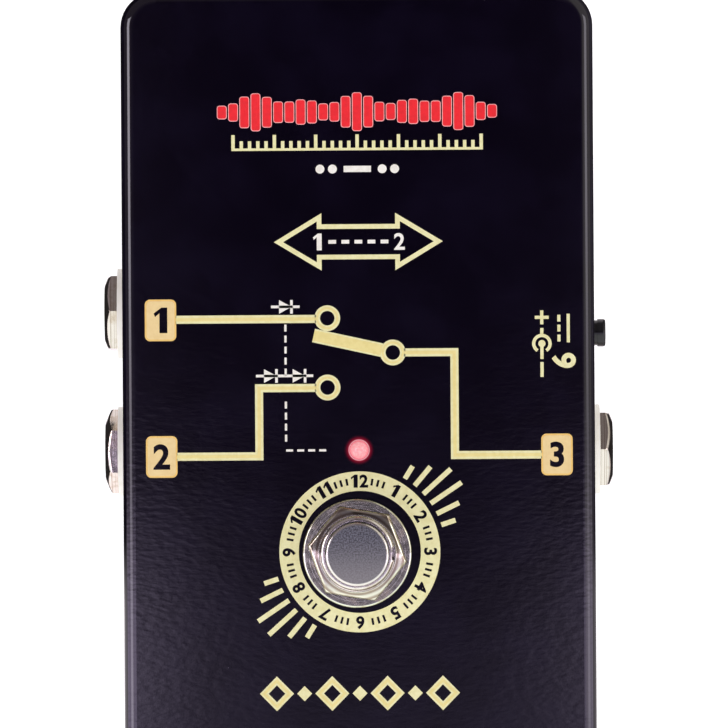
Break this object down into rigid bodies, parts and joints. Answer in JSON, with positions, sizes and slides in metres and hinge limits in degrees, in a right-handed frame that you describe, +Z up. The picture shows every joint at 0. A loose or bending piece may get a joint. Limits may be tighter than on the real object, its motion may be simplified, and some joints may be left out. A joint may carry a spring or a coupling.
{
  "type": "ab switch pedal",
  "caption": "Floor pedal with a stomp switch that sends one guitar signal to either of two jacks, with a status lamp and a DC inlet.",
  "frame": {"origin": "middle of the surface that the feet stand on", "axes": "+Z up, +Y to the pedal's top end, away from the foot switch, +X to the side with one jack and the DC inlet"},
  "size_m": [0.0822, 0.125, 0.045],
  "materials": {
    "case_paint": "fine wrinkle powder coat, very dark blue-black",
    "cover_paint": "semi-matt black paint on steel sheet",
    "black_screw": "black-finished steel",
    "foot_rubber": "matt",
    "nickel": "bright nickel plate",
    "button_metal": "nickel plate with a fine blasted top",
    "zinc_steel": "zinc plate",
    "spring_steel": "drawn wire",
    "blue_plastic": "moulded",
    "white_plastic": "moulded acetal",
    "brown_laminate": "paper laminate",
    "tinned_brass": "tinned",
    "inlet_plastic": "moulded",
    "green_board": "solder mask on glass laminate",
    "lamp_red": "lit epoxy lens",
    "resistor_tan": "lacquer with bands",
    "black_epoxy": "moulded epoxy",
    "white_insulation": "wire insulation",
    "black_insulation": "wire insulation",
    "red_insulation": "wire insulation"
  },
  "bodies": {
    "root": {"enclosure_shell": "case_paint", "bottom_cover": "cover_paint", "cover_screws": "black_screw", "rubber_feet": "foot_rubber", "switch_frame": "nickel", "switch_lower_nut": "nickel", "switch_lock_washer": "zinc_steel", "switch_washer": "nickel", "switch_nut": "nickel", "switch_housing": "blue_plastic", "switch_base": "brown_laminate", "switch_lugs": "tinned_brass", "jack_a_frame": "nickel", "jack_a_wafers": "brown_laminate", "jack_a_tip_lug": "tinned_brass", "jack_a_rivet": "nickel", "jack_b_frame": "nickel", "jack_b_wafers": "brown_laminate", "jack_b_tip_lug": "tinned_brass", "jack_b_rivet": "nickel", "jack_c_frame": "nickel", "jack_c_wafers": "brown_laminate", "jack_c_tip_lug": "tinned_brass", "jack_c_rivet": "nickel", "jack_washers": "nickel", "jack_nuts": "nickel", "inlet_housing": "inlet_plastic", "inlet_pin": "nickel", "circuit_board": "green_board", "board_screws": "zinc_steel", "status_lamp": "lamp_red", "lamp_leads": "tinned_brass", "resistors": "resistor_tan", "diode": "black_epoxy", "part_leads": "tinned_brass", "signal_wires": "white_insulation", "ground_wires": "black_insulation", "lamp_wires": "red_insulation"},
    "button": {"switch_button": "button_metal", "button_clip": "zinc_steel", "button_spring": "spring_steel"},
    "rocker": {"contact_rocker": "white_plastic", "contact_blades": "tinned_brass"},
    "tip_a": {"jack_a_tip_spring": "tinned_brass"},
    "tip_b": {"jack_b_tip_spring": "tinned_brass"},
    "tip_c": {"jack_c_tip_spring": "tinned_brass"},
    "inlet_contact": {"inlet_sleeve_contact": "tinned_brass"}
  },
  "joints": [
    {"name": "button_press", "type": "slide", "parent": "root", "child": "button", "axis": [0, 0, -1], "range_m": [0, 0.003], "stiffness_N_per_m": 2500, "springref_m": -0.002, "deforming": ["button_spring"]},
    {"name": "rocker_tilt", "type": "hinge", "parent": "root", "child": "rocker", "pos_m": [-0.0004, -0.0281, 0.01714], "axis": [1, 0, 0], "range_deg": [0, 22]},
    {"name": "tip_a_flex", "type": "hinge", "parent": "root", "child": "tip_a", "pos_m": [-0.02468, 0.01955, 0.0186], "axis": [0, 0, 1], "range_deg": [0, 8], "stiffness_Nm_per_rad": 0.2},
    {"name": "tip_b_flex", "type": "hinge", "parent": "root", "child": "tip_b", "pos_m": [-0.02468, -0.00285, 0.0186], "axis": [0, 0, 1], "range_deg": [0, 8], "stiffness_Nm_per_rad": 0.2},
    {"name": "tip_c_flex", "type": "hinge", "parent": "root", "child": "tip_c", "pos_m": [0.02468, -0.02045, 0.0186], "axis": [0, 0, 1], "range_deg": [0, 8], "stiffness_Nm_per_rad": 0.2},
    {"name": "inlet_contact_flex", "type": "hinge", "parent": "root", "child": "inlet_contact", "pos_m": [0.03055, 0.00715, 0.0209], "axis": [0, 1, 0], "range_deg": [0, 4], "stiffness_Nm_per_rad": 0.02}
  ]
}
